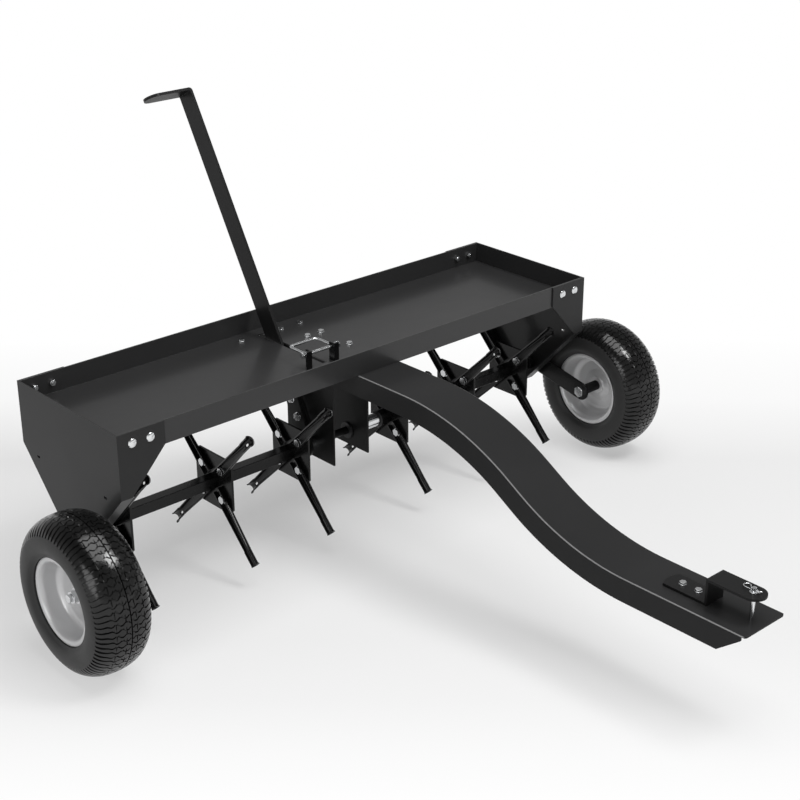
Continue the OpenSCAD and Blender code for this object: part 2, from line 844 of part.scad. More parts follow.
// Side view of the lever's strap in X and Z, its top folded over to the left
function lever_side() = concat(
    [[0, lever_start], [lever_t, lever_start]],
    arc([-fold_in_r, lever_len - fold_r], fold_r, 0, 90, 6),
    [[lever_t - grip_l, lever_len], [lever_t - grip_l, lever_len - lever_t]],
    arc([-fold_in_r, lever_len - fold_r], fold_in_r, 90, 0, 6));

// Transport lever: flat strap leaning back, its folded grip rounded at the free end
module transport_lever() {
    color(black)
        difference() {
            translate([lever_x, shaft_y, shaft_z])
                rotate([-lever_lean, 0, 0])
                    translate([0, strap_w / 2 - lever_off, 0])
                        difference() {
                            rotate([90, 0, 0])
                                linear_extrude(strap_w)
                                    polygon(lever_side());
                            grip_end();
                        }
            lever_bolt_holes();
        }
}

// What is cut away round the grip's free end
module grip_end() {
    translate([lever_t - grip_l + strap_w / 2, -strap_w / 2, lever_len - lever_t - 1])
        difference() {
            translate([-strap_w, -strap_w / 2 - 1, 0])
                cube([strap_w, strap_w + 2, lever_t + 2]);
            translate([0, 0, -1])
                cylinder(h = lever_t + 4, r = strap_w / 2);
        }
}

// Wheel arm: strap from the rock shaft down to the wheel's axle
module wheel_arm() {
    color(black)
        difference() {
            slab_x(arm_x, arm_out_x)
                strap_outline([shaft_y, shaft_z], arm_w / 2, [wheel_y, wheel_z], arm_w / 2);
            translate([0, shaft_y, shaft_z])
                rod_x(arm_x - 1, arm_out_x + 1, shaft_d / 2 + seat_gap);
            translate([0, wheel_y, wheel_z])
                rod_x(arm_x - 1, arm_out_x + 1, axle_d / 2 + seat_gap);
        }
}

// Axle bolt: head inside the arm, shank out through sleeve and wheel
module axle_bolt() {
    color(zinc)
        translate([0, wheel_y, wheel_z]) {
            rod_x(arm_x, axle_end, axle_d / 2);
            translate([arm_x - axle_head_h, 0, 0])
                rotate([0, 90, 0])
                    cylinder(h = axle_head_h, r = axle_nut_r, $fn = 6);
        }
}

// Sleeve that keeps the wheel away from the arm
module axle_sleeve() {
    color(black)
        translate([0, wheel_y, wheel_z])
            ring_x(arm_out_x, hub_in_x, sleeve_d / 2, axle_d / 2 + seat_gap);
}

// Washer and lock nut on the outer end of each axle bolt
module axle_nuts() {
    color(zinc)
        translate([0, wheel_y, wheel_z])
            both_ends() {
                ring_x(hub_out_x, hub_out_x + axle_washer_t, axle_d, axle_d / 2 + seat_gap);
                translate([hub_out_x + axle_washer_t, 0, 0])
                    rotate([0, 90, 0])
                        difference() {
                            cylinder(h = axle_nut_h, r = axle_nut_r, $fn = 6);
                            translate([0, 0, -1])
                                cylinder(h = axle_nut_h + 2, r = axle_d / 2 + seat_gap);
                        }
            }
}

// Section of the rim on one side of the wheel's middle, from the hub out to the flange and back
rim_side = [
    [hub_bush_r, hub_half], [rim_hub_r + 7, hub_half], [rim_hub_r + 13, dish_x + rim_t],
    [barrel_r - 10, dish_x + rim_t], [barrel_r - rim_t, dish_x + rim_t + 9],
    [barrel_r - rim_t, rim_w / 2 - 6], [barrel_r + lip_h * 0.22, rim_w / 2 - 0.8],
    [rim_d / 2 - lip_h * 0.22, rim_w / 2], [rim_d / 2, rim_w / 2 - 1.4], [rim_d / 2, rim_w / 2 - 2.6],
    [barrel_r + lip_h * 0.45, rim_w / 2 - rim_t - 1.4],
    [barrel_r, rim_w / 2 - 8], [barrel_r, dish_x + 8], [barrel_r - 7, dish_x], [rim_hub_r + 12, dish_x],
    [rim_hub_r + 10, dish_x - 2]];

// The same outline on the other side of the middle, in reverse order
function other_side(list) = [for (p = backwards(list)) [p[0], -p[1]]];

// Rim: two dished halves back to back, with rolled flanges and a hub
module wheel_rim() {
    color(silver)
        translate([wheel_x, wheel_y, wheel_z])
            rotate([0, 90, 0])
                rotate_extrude($fn = 96)
                    polygon(concat(rim_side, other_side(rim_side)));
}

// Plain bush in the wheel's hub
module wheel_bush() {
    color(nylon)
        translate([0, wheel_y, wheel_z])
            ring_x(wheel_x - hub_half, wheel_x + hub_half, hub_bush_r - seat_gap, axle_d / 2 + run_gap);
}

// Points of the tyre's crown and shoulder, from the middle out to the widest place
function crown_line(half, top_r, side_r) = [
    for (i = [0 : crown_steps]) let (a = 90 * i / crown_steps, s = pow(sin(a), 0.85))
        [side_r + (top_r - side_r) * pow(1 - pow(s, 2.4), 1 / 2.4), half * s]];

// Section of the tyre on one side: outside from crown to bead, then back along the cavity
tyre_side = concat(
    [[tyre_d / 2 - groove_d, groove_w / 2]],
    [for (p = crown_line(tyre_w / 2, tyre_d / 2, tyre_side_r)) if (p[1] > groove_w / 2) p],
    [[tyre_side_r - 9, tyre_w / 2 - 1.2], [rim_d / 2 + 0.6, tyre_w / 2 - 5.5],
     [rim_d / 2 + 0.6, rim_w / 2 - 3.4], [barrel_r + lip_h * 0.52, rim_w / 2 - 4.6],
     [barrel_r + seat_gap, rim_w / 2 - bead_in], [barrel_r + seat_gap, rim_w / 2 - bead_in - bead_w],
     [barrel_r + bead_toe, rim_w / 2 - bead_in - bead_w + 3]],
    backwards(crown_line(tyre_w / 2 - tyre_wall, tyre_d / 2 - tyre_wall - groove_d, tyre_side_r)));

// Tyre: hollow casing with a centre groove, its beads seated behind the rim's flanges
module tyre() {
    color(rubber)
        translate([wheel_x, wheel_y, wheel_z])
            rotate([0, 90, 0])
                rotate_extrude($fn = 96)
                    polygon(concat(tyre_side, other_side(tyre_side)));
}

// Square tine tube that turns freely on the rock shaft
module tine_tube(x0, x1) {
    hollow = tube_s - 2 * tube_t;
    color(black)
        translate([x0, shaft_y, shaft_z])
            difference() {
                translate([0, -tube_s / 2, -tube_s / 2])
                    cube([x1 - x0, tube_s, tube_s]);
                translate([-1, -hollow / 2, -hollow / 2])
                    cube([x1 - x0 + 2, hollow, hollow]);
            }
}

// Flanged end bushes pressed into a tine tube
module tine_bushes(x0, x1) {
    plug = tube_s - 2 * tube_t - 2 * seat_gap;
    color(nylon)
        translate([0, shaft_y, shaft_z]) {
            difference() {
                union() {
                    rod_x(x0 - tine_cap_t, x0, bush_flange_r);
                    translate([x0, -plug / 2, -plug / 2])
                        cube([tine_cap_l, plug, plug]);
                }
                rod_x(x0 - tine_cap_t - 1, x0 + tine_cap_l + 1, bush_r);
            }
            difference() {
                union() {
                    rod_x(x1, x1 + tine_cap_t, bush_flange_r);
                    translate([x1 - tine_cap_l, -plug / 2, -plug / 2])
                        cube([tine_cap_l, plug, plug]);
                }
                rod_x(x1 - tine_cap_l - 1, x1 + tine_cap_t + 1, bush_r);
            }
        }
}

// Star plate: square with clipped corners on the tine tube, with four bolt holes
module star_plate(x) {
    clip = 9;
    fit = tube_s + 2 * seat_gap;
    color(black)
        translate([0, shaft_y, shaft_z])
            difference() {
                slab_x(x, x + star_t)
                    difference() {
                        intersection() {
                            square(star_s, center = true);
                            rotate(45)
                                square(sqrt(2) * (star_s - clip), center = true);
                        }
                        square(fit, center = true);
                    }
                for (k = [0 : 3])
                    rotate([90 * k + 45, 0, 0])
                        translate([0, star_bolt_r, 0])
                            rod_x(x - 1, x + star_t + 1, star_bolt_d / 2 + bolt_gap);
            }
}

// Coring spoon pointing along +Y: web on the star plate, tapering flanges and a half-round cutting tip
module spoon() {
    flare_l = 4;
    root = spoon_r - tip_l;
    taper = atan2((spoon_w_in - spoon_w_out) / 2, root - spoon_in);
    blade_l = norm([root - spoon_in, (spoon_w_in - spoon_w_out) / 2]) + 1;
    difference() {
        union() {
            slab_x(-spoon_t, 0)
                polygon([[spoon_in, -spoon_w_in / 2], [root + 1, -spoon_w_out / 2],
                    [root + 1, spoon_w_out / 2], [spoon_in, spoon_w_in / 2]]);
            for (side = [-1, 1])
                translate([0, spoon_in, side * spoon_w_in / 2])
                    rotate([-side * taper, 0, 0])
                        translate([0, 0, side > 0 ? -spoon_t : 0])
                            linear_extrude(spoon_t)
                                polygon([[0, 0], [-spoon_h_in, 0], [-spoon_h_out, blade_l], [0, blade_l]]);
            translate([-tip_d / 2, root, 0])
                rotate([-90, 0, 0])
                    intersection() {
                        union() {
                            cylinder(h = tip_l, r = tip_d / 2);
                            translate([0, 0, tip_l - flare_l])
                                cylinder(h = flare_l, r1 = tip_d / 2, r2 = tip_d / 2 + rim_flare);
                        }
                        translate([-1, -tip_d, 0])
                            cube([tip_d, 2 * tip_d, tip_l]);
                    }
        }
        translate([-tip_d / 2, root - 2, 0])
            rotate([-90, 0, 0])
                cylinder(h = tip_l + 4, r = tip_d / 2 - spoon_t);
        translate([-tip_d, spoon_r - soil_hole_back - soil_hole_l, -soil_hole_w / 2])
            cube([2 * tip_d, soil_hole_l, soil_hole_w]);
        translate([0, star_bolt_r, 0])
            rod_x(-spoon_t - 1, 1, star_bolt_d / 2 + bolt_gap);
    }
}

// Four spoons on the diagonals of one star
module spoons(x) {
    color(black)
        translate([x, shaft_y, shaft_z])
            for (k = [0 : 3])
                rotate([90 * k + 45, 0, 0])
                    spoon();
}

// Bolts through spoons and star plates, heads inside the spoons
module star_bolts(places) {
    color(zinc)
        for (x = places, k = [0 : 3])
            translate([x - spoon_t, shaft_y, shaft_z])
                rotate([90 * k + 45, 0, 0])
                    translate([0, star_bolt_r, 0])
                        rotate([0, -90, 0])
                            fastener(star_bolt_d, spoon_t + star_t);
}

place() tray();
place() mirror([1, 0, 0]) end_plate();  // end_plate_left
place() end_plate();  // end_plate_right
place() end_plate_bolts();
place() deck_bolts();
place() drawbar();
place() hanger_bracket();
place() shaft_bushes();
place() hitch_bracket();
place() hitch_bolts();
place() hitch_pin();
place() hitch_washer();
place() hitch_clip();
place() latch_tabs();
place() latch_rod();
place() latch_nuts();
place() latch_bail();
place() rock_shaft();
place() shaft_spacer(lever_x, hanger_x[0]);  // shaft_spacer_left
place() shaft_spacer(hanger_x[1], spacer_right_end);  // shaft_spacer_right
place() lever_bracket();
place() lever_bolts();
place() transport_lever();
place() mirror([1, 0, 0]) wheel_arm();  // wheel_arm_left
place() wheel_arm();  // wheel_arm_right
place() mirror([1, 0, 0]) axle_bolt();  // axle_bolt_left
place() axle_bolt();  // axle_bolt_right
place() mirror([1, 0, 0]) axle_sleeve();  // axle_sleeve_left
place() axle_sleeve();  // axle_sleeve_right
place() axle_nuts();
place() mirror([1, 0, 0]) wheel_rim();  // wheel_rim_left
place() wheel_rim();  // wheel_rim_right
place() mirror([1, 0, 0]) wheel_bush();  // wheel_bush_left
place() wheel_bush();  // wheel_bush_right
place() mirror([1, 0, 0]) tyre();  // tyre_left
place() tyre();  // tyre_right
place() tine_tube(-tine_out_x, tine_left_in);  // tine_tube_left
place() tine_tube(tine_right_in, tine_out_x);  // tine_tube_right
place() tine_bushes(-tine_out_x, tine_left_in);  // tine_bushes_left
place() tine_bushes(tine_right_in, tine_out_x);  // tine_bushes_right
place() star_plate(stars_left[0]);  // star_plate_1
place() star_plate(stars_left[1]);  // star_plate_2
place() star_plate(stars_left[2]);  // star_plate_3
place() star_plate(stars_right[0]);  // star_plate_4
place() star_plate(stars_right[1]);  // star_plate_5
place() star_plate(stars_right[2]);  // star_plate_6
place() spoons(stars_left[0]);  // spoons_1
place() spoons(stars_left[1]);  // spoons_2
place() spoons(stars_left[2]);  // spoons_3
place() spoons(stars_right[0]);  // spoons_4
place() spoons(stars_right[1]);  // spoons_5
place() spoons(stars_right[2]);  // spoons_6
place() star_bolts(stars_left);  // star_bolts_left
place() star_bolts(stars_right);  // star_bolts_right
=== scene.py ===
import json
import math
import bmesh
import bpy
from mathutils import Euler, Matrix, Vector


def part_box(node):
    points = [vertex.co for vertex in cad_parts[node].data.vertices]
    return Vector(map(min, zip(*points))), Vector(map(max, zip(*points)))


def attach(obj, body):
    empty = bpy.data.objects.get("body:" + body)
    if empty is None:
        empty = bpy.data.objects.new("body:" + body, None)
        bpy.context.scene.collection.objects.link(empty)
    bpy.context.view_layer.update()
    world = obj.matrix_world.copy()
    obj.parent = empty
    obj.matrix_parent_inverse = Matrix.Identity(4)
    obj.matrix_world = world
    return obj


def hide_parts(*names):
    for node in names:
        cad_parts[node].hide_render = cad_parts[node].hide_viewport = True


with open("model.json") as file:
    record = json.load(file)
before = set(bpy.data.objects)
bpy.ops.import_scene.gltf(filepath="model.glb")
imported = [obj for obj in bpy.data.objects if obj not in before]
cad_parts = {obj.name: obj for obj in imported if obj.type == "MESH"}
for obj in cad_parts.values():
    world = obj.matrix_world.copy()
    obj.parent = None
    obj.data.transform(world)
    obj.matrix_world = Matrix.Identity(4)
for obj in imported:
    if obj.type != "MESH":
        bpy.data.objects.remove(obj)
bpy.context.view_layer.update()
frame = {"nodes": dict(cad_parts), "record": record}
nodes = frame["nodes"]
print("frame loaded,", len(nodes), "nodes")


def boxMiddle(node):
    low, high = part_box(node)
    return (low + high) / 2


# Node groups that several finishes share

def newGroup(name, inputs, outputs):
    group = bpy.data.node_groups.new(name, "ShaderNodeTree")
    for label, kind, value in inputs:
        socket = group.interface.new_socket(label, in_out="INPUT", socket_type=kind)
        socket.default_value = value
    for label, kind in outputs:
        group.interface.new_socket(label, in_out="OUTPUT", socket_type=kind)
    start = group.nodes.new("NodeGroupInput")
    end = group.nodes.new("NodeGroupOutput")
    return group, start, end


def buildGrainGroup():
    # fine orange peel with slow cloudy variation
    group, start, end = newGroup(
        "surfaceGrain",
        [("Fine", "NodeSocketFloat", 900.0), ("Cloud", "NodeSocketFloat", 9.0)],
        [("Height", "NodeSocketFloat"), ("Cloud", "NodeSocketFloat")])
    links = group.links
    place = group.nodes.new("ShaderNodeTexCoord")
    fine = group.nodes.new("ShaderNodeTexNoise")
    fine.inputs["Detail"].default_value = 2.0
    cloud = group.nodes.new("ShaderNodeTexNoise")
    cloud.inputs["Detail"].default_value = 4.0
    cloud.inputs["Roughness"].default_value = 0.6
    links.new(place.outputs["Object"], fine.inputs["Vector"])
    links.new(place.outputs["Object"], cloud.inputs["Vector"])
    links.new(start.outputs["Fine"], fine.inputs["Scale"])
    links.new(start.outputs["Cloud"], cloud.inputs["Scale"])
    links.new(fine.outputs["Fac"], end.inputs["Height"])
    links.new(cloud.outputs["Fac"], end.inputs["Cloud"])
    return group


def buildBrushGroup():
    # short drawn streaks, long along one axis of the piece
    group, start, end = newGroup(
        "drawnStreaks",
        [("Stretch", "NodeSocketVector", (40.0, 900.0, 900.0))],
        [("Streak", "NodeSocketFloat")])
    links = group.links
    place = group.nodes.new("ShaderNodeTexCoord")
    scale = group.nodes.new("ShaderNodeVectorMath")
    scale.operation = "MULTIPLY"
    noise = group.nodes.new("ShaderNodeTexNoise")
    noise.inputs["Scale"].default_value = 1.0
    noise.inputs["Detail"].default_value = 3.0
    links.new(place.outputs["Object"], scale.inputs[0])
    links.new(start.outputs["Stretch"], scale.inputs[1])
    links.new(scale.outputs["Vector"], noise.inputs["Vector"])
    links.new(noise.outputs["Fac"], end.inputs["Streak"])
    return group


def buildSpanGroup():
    # turns a mask from 0 to 1 into a value between two limits
    group, start, end = newGroup(
        "valueSpan",
        [("Mask", "NodeSocketFloat", 0.5), ("Low", "NodeSocketFloat", 0.0), ("High", "NodeSocketFloat", 1.0)],
        [("Value", "NodeSocketFloat")])
    span = group.nodes.new("ShaderNodeMapRange")
    span.inputs["From Min"].default_value = 0.3
    span.inputs["From Max"].default_value = 0.7
    group.links.new(start.outputs["Mask"], span.inputs["Value"])
    group.links.new(start.outputs["Low"], span.inputs["To Min"])
    group.links.new(start.outputs["High"], span.inputs["To Max"])
    group.links.new(span.outputs["Result"], end.inputs["Value"])
    return group


grainGroup = buildGrainGroup()
brushGroup = buildBrushGroup()
spanGroup = buildSpanGroup()


def mathNode(tree, operation, *sources):
    node = tree.nodes.new("ShaderNodeMath")
    node.operation = operation
    for place, source in enumerate(sources):
        tree.links.new(source, node.inputs[place])
    return node.outputs["Value"]


def groupNode(tree, group, **values):
    node = tree.nodes.new("ShaderNodeGroup")
    node.node_tree = group
    for label, value in values.items():
        node.inputs[label].default_value = value
    return node


def coatedMaterial(name, look):
    # a painted, plated or moulded finish: grain in the bump, clouds in colour and gloss
    material = bpy.data.materials.new(name)
    material.use_nodes = True
    tree = material.node_tree
    shader = tree.nodes["Principled BSDF"]
    grain = groupNode(tree, grainGroup, Fine=look["grainScale"], Cloud=look["cloudScale"])
    gloss = groupNode(tree, spanGroup, Low=look["roughness"][0], High=look["roughness"][1])
    tone = tree.nodes.new("ShaderNodeMix")
    tone.data_type = "RGBA"
    tone.inputs["A"].default_value = (*look["dark"], 1)
    tone.inputs["B"].default_value = (*look["light"], 1)
    bump = tree.nodes.new("ShaderNodeBump")
    bump.inputs["Strength"].default_value = look["bump"]
    bump.inputs["Distance"].default_value = look["bumpDepth"]
    tree.links.new(grain.outputs["Cloud"], gloss.inputs["Mask"])
    tree.links.new(gloss.outputs["Value"], shader.inputs["Roughness"])
    tree.links.new(grain.outputs["Cloud"], tone.inputs["Factor"])
    tree.links.new(tone.outputs["Result"], shader.inputs["Base Color"])
    tree.links.new(grain.outputs["Height"], bump.inputs["Height"])
    tree.links.new(bump.outputs["Normal"], shader.inputs["Normal"])
    shader.inputs["Metallic"].default_value = look["metallic"]
    shader.inputs["Specular IOR Level"].default_value = look["specular"]
    return material


def zincMaterial(name, look):
    # bright zinc plate: drawn streaks under a faint cloudy film
    material = coatedMaterial(name, look)
    tree = material.node_tree
    shader = tree.nodes["Principled BSDF"]
    streak = groupNode(tree, brushGroup, Stretch=look["streak"])
    gloss = groupNode(tree, spanGroup, Low=look["roughness"][0], High=look["roughness"][1])
    tree.links.new(streak.outputs["Streak"], gloss.inputs["Mask"])
    tree.links.new(gloss.outputs["Value"], shader.inputs["Roughness"])
    return material


def blackCoat(name, tone, specular, coat):
    # satin powder coat under a thin gloss
    material = coatedMaterial(name, {
        "dark": (tone, tone, tone * 1.02), "light": (tone * 1.25, tone * 1.25, tone * 1.27),
        "roughness": (0.38, 0.46), "metallic": 0.0, "specular": specular,
        "grainScale": 900.0, "cloudScale": 7.0, "bump": 0.04, "bumpDepth": 0.0002})
    shader = material.node_tree.nodes["Principled BSDF"]
    shader.inputs["Coat Weight"].default_value = coat
    shader.inputs["Coat Roughness"].default_value = 0.17
    shader.inputs["Coat IOR"].default_value = 1.45
    return material


def paintFoldHighlight(material, tone):
    # a painted highlight: a lighter base colour where the piece marks the crests of its folds, standing in for the
    # light a fold catches
    tree = material.node_tree
    shader = tree.nodes["Principled BSDF"]
    mark = tree.nodes.new("ShaderNodeAttribute")
    mark.attribute_name = "highlightMark"
    paintedHighlight = tree.nodes.new("ShaderNodeMix")
    paintedHighlight.data_type = "RGBA"
    paintedHighlight.inputs["B"].default_value = (tone, tone, tone, 1)
    painted = shader.inputs["Base Color"].links[0].from_socket
    tree.links.new(mark.outputs["Fac"], paintedHighlight.inputs["Factor"])
    tree.links.new(painted, paintedHighlight.inputs["A"])
    tree.links.new(paintedHighlight.outputs["Result"], shader.inputs["Base Color"])
    return material


finishes = {
    "black": blackCoat("blackPowderCoat", 0.017, 0.34, 0.35),
    "sheet": blackCoat("blackSheetCoat", 0.016, 0.10, 0.30),
    # the drawbar's coat, with a painted highlight along the crests of its folds
    "bar": paintFoldHighlight(blackCoat("blackBarCoat", 0.018, 0.06, 0.07), 0.20),
    # a darker copy of the black coat for the lever, brackets, rock shaft and axle sleeves: its lower base colour is
    # painted shade
    "shadedCoat": blackCoat("blackCoatPaintedShade", 0.008, 0.10, 0.08),
    # a glossier black for the spoons, star plates, tine tubes, wheel arms and latch tabs; its darker base colour is
    # painted shade
    "glossShaded": coatedMaterial("glossBlackPaintedShade", {
        "dark": (0.004, 0.004, 0.0041), "light": (0.006, 0.006, 0.0061),
        "roughness": (0.20, 0.28), "metallic": 0.0, "specular": 0.25,
        "grainScale": 700.0, "cloudScale": 25.0, "bump": 0.04, "bumpDepth": 0.0002}),
    "zinc": zincMaterial("brightZinc", {
        "dark": (0.66, 0.67, 0.68), "light": (0.82, 0.83, 0.84),
        "roughness": (0.13, 0.24), "metallic": 1.0, "specular": 0.5,
        "grainScale": 700.0, "cloudScale": 60.0, "bump": 0.06, "bumpDepth": 0.0002,
        "streak": (60.0, 900.0, 900.0)}),
    "rim": coatedMaterial("silverRimPaint", {
        "dark": (0.56, 0.56, 0.565), "light": (0.62, 0.62, 0.625),
        "roughness": (0.32, 0.42), "metallic": 0.40, "specular": 0.5,
        "grainScale": 800.0, "cloudScale": 20.0, "bump": 0.08, "bumpDepth": 0.0003}),
    "rubber": coatedMaterial("tyreRubber", {
        "dark": (0.004, 0.004, 0.004), "light": (0.007, 0.007, 0.007),
        "roughness": (0.13, 0.20), "metallic": 0.0, "specular": 0.40,
        "grainScale": 450.0, "cloudScale": 35.0, "bump": 0.06, "bumpDepth": 0.0003}),
    # rougher rubber for the side walls; its lighter base colour is a painted sheen
    "sideWallSheen": coatedMaterial("tyreSideWallPaintedSheen", {
        "dark": (0.018, 0.018, 0.018), "light": (0.024, 0.024, 0.024),
        "roughness": (0.40, 0.50), "metallic": 0.0, "specular": 0.30,
        "grainScale": 450.0, "cloudScale": 35.0, "bump": 0.06, "bumpDepth": 0.0003}),
    "nylon": coatedMaterial("blackNylon", {
        "dark": (0.020, 0.020, 0.021), "light": (0.030, 0.030, 0.031),
        "roughness": (0.45, 0.60), "metallic": 0.0, "specular": 0.4,
        "grainScale": 400.0, "cloudScale": 25.0, "bump": 0.10, "bumpDepth": 0.0003}),
}
slotFinish = {"black_coat": "black", "zinc": "zinc", "rim_silver": "rim", "tyre": "rubber", "nylon": "nylon"}
nodeSlot = {s["node"]: s["material_slot"] for s in frame["record"]["subparts"]}
nodeBody = {n: body for body, names in frame["record"]["behaviour"]["bodies"].items() for n in names}
nodeFinish = {
    "glossShaded": ("spoons_", "star_plate_", "tine_tube_", "wheel_arm_", "latch_tabs"),
    "sheet": ("end_plate_left", "end_plate_right"),
    "bar": ("drawbar",),
    "shadedCoat": ("transport_lever", "lever_bracket", "hanger_bracket", "hitch_bracket", "rock_shaft", "axle_sleeve_"),
}


def finishOf(node):
    for finish, starts in nodeFinish.items():
        if nodeSlot[node] == "black_coat" and node.startswith(starts):
            return finishes[finish]
    return finishes[slotFinish[nodeSlot[node]]]


for name, cadNode in nodes.items():
    cadNode.data.materials.clear()
    cadNode.data.materials.append(finishOf(name))
print("finishes ready")


# Making pieces

def closeMesh(bm):
    bmesh.ops.remove_doubles(bm, verts=bm.verts, dist=0.000005)
    bmesh.ops.recalc_face_normals(bm, faces=bm.faces)


def addPiece(name, bm, body, standsFor, smoothAngle=35):
    mesh = bpy.data.meshes.new(name)
    bm.to_mesh(mesh)
    bm.free()
    mesh.shade_smooth()
    mesh.set_sharp_from_angle(angle=math.radians(smoothAngle))
    mesh.materials.append(finishOf(standsFor[0]))
    piece = bpy.data.objects.new(name, mesh)
    bpy.context.scene.collection.objects.link(piece)
    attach(piece, body)
    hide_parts(*standsFor)
    return piece


def joinMesh(bm, part):
    # adds one shape to another and frees it
    carried = bpy.data.meshes.new("carried")
    part.to_mesh(carried)
    part.free()
    bm.from_mesh(carried)
    bpy.data.meshes.remove(carried)


def flatShading(piece):
    # wide faces keep their own normals, so that folds and broken edges show as thin lines
    weighted = piece.modifiers.new("flatShading", "WEIGHTED_NORMAL")
    weighted.mode = "FACE_AREA"
    weighted.weight = 50
    weighted.keep_sharp = True
    return piece


def softEdges(piece, width, segments=2, angle=32):
    bevel = piece.modifiers.new("softEdges", "BEVEL")
    bevel.width = width
    bevel.segments = segments
    bevel.limit_method = "ANGLE"
    bevel.angle_limit = math.radians(angle)
    bevel.use_clamp_overlap = True
    bevel.harden_normals = True
    return flatShading(piece)


def softenedNode(node, width):
    # the CAD node's own shape with its sharp edges broken, so that they catch the light
    bm = bmesh.new()
    bm.from_mesh(nodes[node].data)
    bmesh.ops.remove_doubles(bm, verts=bm.verts, dist=0.000005)
    bmesh.ops.dissolve_limit(bm, angle_limit=math.radians(0.6), verts=bm.verts, edges=bm.edges)
    piece = addPiece(node + "_soft", bm, nodeBody[node], (node,))
    return softEdges(piece, width)


def roundedLine(points, radius, steps=4):
    # the same line with its corners taken round, within a radius
    line = [Vector(points[0])]
    for before, corner, after in zip(points, points[1:], points[2:]):
        before, corner, after = Vector(before), Vector(corner), Vector(after)
        reach = min(radius, (before - corner).length * 0.48, (after - corner).length * 0.48)
        start = corner + (before - corner).normalized() * reach
        end = corner + (after - corner).normalized() * reach
        for i in range(steps + 1):
            t = i / steps
            line.append(start * (1 - t) ** 2 + corner * 2 * t * (1 - t) + end * t ** 2)
    line.append(Vector(points[-1]))
    return line


def grow(bm, edges):
    # extrudes a run of edges, and gives the new edges and points
    grown = bmesh.ops.extrude_edge_only(bm, edges=edges)["geom"]
    return ([g for g in grown if isinstance(g, bmesh.types.BMEdge)],
            [g for g in grown if isinstance(g, bmesh.types.BMVert)])


def sweptWire(path, radius, sides=12):
    # round wire drawn along a path by extruding a circle
    bm = bmesh.new()
    runs = [(b - a).normalized() for a, b in zip(path, path[1:])]
    turns = [runs[0]] + [(a + b).normalized() for a, b in zip(runs, runs[1:])] + [runs[-1]]
    facing = turns[0].to_track_quat("Z", "Y")
    ring = bmesh.ops.create_circle(bm, cap_ends=True, radius=radius, segments=sides,
                                   matrix=Matrix.Translation(path[0]) @ facing.to_matrix().to_4x4())
    edges = list({e for v in ring["verts"] for e in v.link_edges})
    for i in range(1, len(path)):
        edges, verts = grow(bm, edges)
        turn = turns[i - 1].rotation_difference(turns[i]).to_matrix().to_4x4()
        bmesh.ops.transform(bm, verts=verts,
                            matrix=Matrix.Translation(path[i]) @ turn @ Matrix.Translation(-path[i - 1]))
    bmesh.ops.edgeloop_fill(bm, edges=edges)
    closeMesh(bm)
    return bm


def spunShape(outline, middle, steps, closed=True):
    # outline of (radius, place along X) turned about a line along X
    bm = bmesh.new()
    verts = [bm.verts.new((x, 0, r)) for r, x in outline]
    ends = verts[1:] + verts[:1] if closed else verts[1:]
    edges = [bm.edges.new(pair) for pair in zip(verts, ends)]
    bmesh.ops.spin(bm, geom=verts + edges, cent=(0, 0, 0), axis=(1, 0, 0), angle=math.tau,
                   steps=steps, use_merge=True)
    closeMesh(bm)
    bmesh.ops.translate(bm, verts=bm.verts, vec=middle)
    return bm


# Sheet metal, fasteners and shafts keep the CAD shape with broken edges

edgeWidths = {
    "tray": 0.0011, "end_plate_left": 0.0010, "end_plate_right": 0.0010, "hanger_bracket": 0.0006,
    "hitch_bracket": 0.0008, "latch_tabs": 0.0005, "lever_bracket": 0.0006, "transport_lever": 0.0009,
    "wheel_arm_left": 0.0007, "wheel_arm_right": 0.0007, "tine_tube_left": 0.0012, "tine_tube_right": 0.0012,
    "end_plate_bolts": 0.0004, "deck_bolts": 0.0004, "hitch_bolts": 0.0004, "lever_bolts": 0.0004,
    "star_bolts_left": 0.0004, "star_bolts_right": 0.0004, "latch_nuts": 0.0004, "axle_nuts": 0.0005,
    "axle_bolt_left": 0.0006, "axle_bolt_right": 0.0006, "latch_rod": 0.0005, "hitch_pin": 0.0003,
    "hitch_washer": 0.0002, "shaft_spacer_left": 0.0005, "shaft_spacer_right": 0.0005, "rock_shaft": 0.0008,
}
for name, width in edgeWidths.items():
    softenedNode(name, width)
for number in range(1, 7):
    softenedNode(f"star_plate_{number}", 0.0006)
print("edges softened on", len(edgeWidths) + 6, "nodes")


# Drawbar

drawbar = {
    "bend": 0.05744,  # where the first bend begins
    "topRadius": 0.463,
    "lowRadius": 0.411,
    "slope": math.radians(30),
    "steps": 18,
    "sheet": 0.003,
    "cornerRadius": 0.0036,
    "edge": 0.0006,
    "highlightPoints": (4, 5),  # points of the section, from either end, that carry the painted highlight on the crest of a fold
    "frontCut": 0.044,
    "noseRadius": 0.008,
}


def drawbarPath(settings, low, high):
    # points in Y and Z of the upper face, with the slope at each
    deck = high.z
    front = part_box("hitch_bracket")[0].z
    drop = deck - front
    top, bottom, slope = settings["topRadius"], settings["lowRadius"], settings["slope"]
    straight = (drop - (top + bottom) * (1 - math.cos(slope))) / math.sin(slope)
    path = [(high.y, deck, 0.0)]
    for i in range(settings["steps"] + 1):
        a = slope * i / settings["steps"]
        path.append((settings["bend"] - top * math.sin(a), deck - top * (1 - math.cos(a)), a))
    y = path[-1][0] - straight * math.cos(slope)
    z = path[-1][1] - straight * math.sin(slope)
    for i in range(settings["steps"] + 1):
        a = slope * (1 - i / settings["steps"])
        path.append((y - bottom * (math.sin(slope) - math.sin(a)), z - bottom * (math.cos(a) - math.cos(slope)), a))
    path.append((low.y, front, 0.0))
    return path


